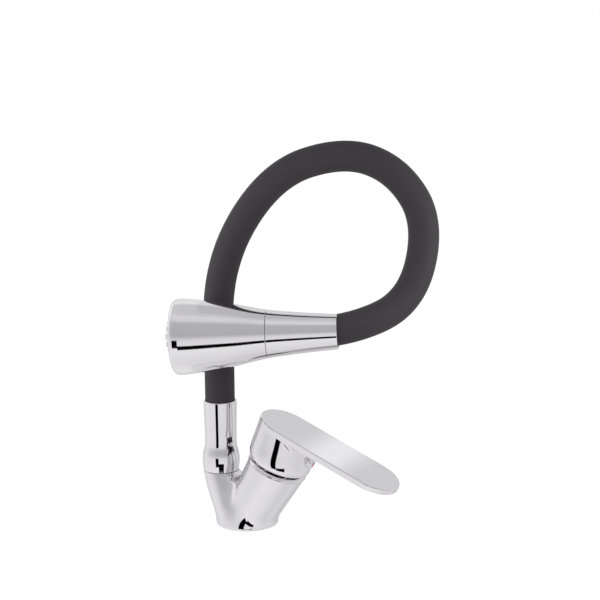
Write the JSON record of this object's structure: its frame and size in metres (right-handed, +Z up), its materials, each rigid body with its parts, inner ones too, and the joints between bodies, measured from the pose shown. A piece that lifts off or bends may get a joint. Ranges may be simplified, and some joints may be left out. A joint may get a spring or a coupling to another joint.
{
  "type": "flexible kitchen tap",
  "caption": "Single-lever kitchen mixer tap with a bendable hose arm looped over to a flared spray head.",
  "frame": {"origin": "centre of the foot's flat underside, on the deck", "axes": "+Z up, +X from the spout's neck towards the lever's tip, +Y to the cold side"},
  "size_m": [0.1927, 0.1514, 0.3201],
  "materials": {
    "chrome": "polished chrome plate on brass",
    "plated_plastic": "chrome-plated plastic, polished",
    "brass": "machined",
    "steel": "satin",
    "silicone": "matt charcoal silicone",
    "tube_plastic": "matt",
    "seal_rubber": "matt",
    "cartridge_plastic": "matt",
    "ceramic": "lapped",
    "face_plastic": "matt grey",
    "red_mark": "gloss",
    "blue_mark": "gloss"
  },
  "bodies": {
    "body": {"body_casting": "chrome", "base_seal": "seal_rubber", "cartridge_base": "cartridge_plastic", "cartridge_seals": "seal_rubber", "fixed_disc": "ceramic", "cartridge_shell": "cartridge_plastic", "cartridge_nut": "brass", "cover_ring": "chrome", "spout_spigot": "brass", "spigot_o_rings": "seal_rubber"},
    "swing": {"swing_guide": "cartridge_plastic", "spindle_pin": "steel"},
    "lever": {"lever_spindle": "brass", "lever_handle": "chrome", "handle_screw": "steel", "index_plug": "chrome", "hot_mark": "red_mark", "cold_mark": "blue_mark"},
    "disc": {"moving_disc": "ceramic", "disc_carrier": "cartridge_plastic"},
    "spout": {"neck_collar": "chrome", "glide_rings": "cartridge_plastic", "collar_screw": "steel", "arm_base_ferrule": "brass", "arm_sleeve_1": "silicone", "arm_core_1": "steel", "water_tube_1": "tube_plastic"},
    "arm_2": {"arm_sleeve_2": "silicone", "arm_core_2": "steel", "water_tube_2": "tube_plastic"},
    "arm_3": {"arm_sleeve_3": "silicone", "arm_core_3": "steel", "water_tube_3": "tube_plastic"},
    "arm_4": {"arm_sleeve_4": "silicone", "arm_core_4": "steel", "water_tube_4": "tube_plastic"},
    "arm_5": {"arm_sleeve_5": "silicone", "arm_core_5": "steel", "water_tube_5": "tube_plastic"},
    "arm_6": {"arm_sleeve_6": "silicone", "arm_core_6": "steel", "water_tube_6": "tube_plastic"},
    "arm_7": {"arm_sleeve_7": "silicone", "arm_core_7": "steel", "water_tube_7": "tube_plastic"},
    "head": {"arm_sleeve_8": "silicone", "arm_core_8": "steel", "water_tube_8": "tube_plastic", "arm_end_ferrule": "brass", "coupling_nut": "brass", "head_washer": "seal_rubber", "head_waterway": "cartridge_plastic", "check_valve": "cartridge_plastic", "head_rear_shell": "plated_plastic", "head_clip": "steel", "head_o_ring": "seal_rubber"},
    "spray_front": {"head_front_shell": "plated_plastic", "mode_disc": "cartridge_plastic", "spray_plate": "face_plastic", "aerator": "face_plastic"}
  },
  "joints": [
    {"name": "lever_swing", "type": "hinge", "parent": "body", "child": "swing", "pos_m": [0.0223, 0, 0.03587], "axis": [0.3923, 0, 0.9198], "range_deg": [-45, 45]},
    {"name": "lever_lift", "type": "hinge", "parent": "swing", "child": "lever", "pos_m": [0.0223, 0, 0.03587], "axis": [0, -1, 0], "range_deg": [0, 22]},
    {"name": "disc_slide", "type": "slide", "parent": "swing", "child": "disc", "axis": [0.9198, 0, -0.3923], "range_m": [0, 0.002]},
    {"name": "spout_swivel", "type": "hinge", "parent": "body", "child": "spout", "pos_m": [-0.0246, 0, 0.0432], "axis": [0, 0, 1], "continuous": true},
    {"name": "arm_bend_1", "type": "hinge", "parent": "spout", "child": "arm_2", "pos_m": [-0.0246, 0, 0.15], "axis": [0.454, -0.891, 0], "range_deg": [-8, 24]},
    {"name": "arm_bend_2", "type": "hinge", "parent": "arm_2", "child": "arm_3", "pos_m": [-0.00353, 0.00821, 0.2555], "axis": [0.454, -0.891, 0], "range_deg": [-8, 24]},
    {"name": "arm_bend_3", "type": "hinge", "parent": "arm_3", "child": "arm_4", "pos_m": [0.04552, 0.02759, 0.3015], "axis": [0.454, -0.891, 0], "range_deg": [-8, 24]},
    {"name": "arm_bend_4", "type": "hinge", "parent": "arm_4", "child": "arm_5", "pos_m": [0.09368, 0.0454, 0.30325], "axis": [0.454, -0.891, 0], "range_deg": [-4.8, 14.4]},
    {"name": "arm_bend_5", "type": "hinge", "parent": "arm_5", "child": "arm_6", "pos_m": [0.12682, 0.0547, 0.27475], "axis": [0.454, -0.891, 0], "range_deg": [-2.4, 7.2]},
    {"name": "arm_bend_6", "type": "hinge", "parent": "arm_6", "child": "arm_7", "pos_m": [0.13592, 0.04896, 0.22275], "axis": [0.454, -0.891, 0], "range_deg": [-0.8, 2.4]},
    {"name": "head_bend", "type": "hinge", "parent": "arm_7", "child": "head", "pos_m": [0.11475, 0.01777, 0.18184], "axis": [0.454, -0.891, 0], "range_deg": [-15, 5]},
    {"name": "spray_mode", "type": "hinge", "parent": "head", "child": "spray_front", "pos_m": [0.08906, -0.00831, 0.1718], "axis": [-0.9296, -0.3662, -0.0419], "range_deg": [0, 60]}
  ],
  "couplings": [
    {"joint": "disc_slide", "follows": "lever_lift", "m_per_rad": 0.00507},
    {"joint": "arm_bend_2", "follows": "arm_bend_1", "ratio": 1},
    {"joint": "arm_bend_3", "follows": "arm_bend_1", "ratio": 1},
    {"joint": "arm_bend_4", "follows": "arm_bend_1", "ratio": 0.6},
    {"joint": "arm_bend_5", "follows": "arm_bend_1", "ratio": 0.3},
    {"joint": "arm_bend_6", "follows": "arm_bend_1", "ratio": 0.1}
  ]
}
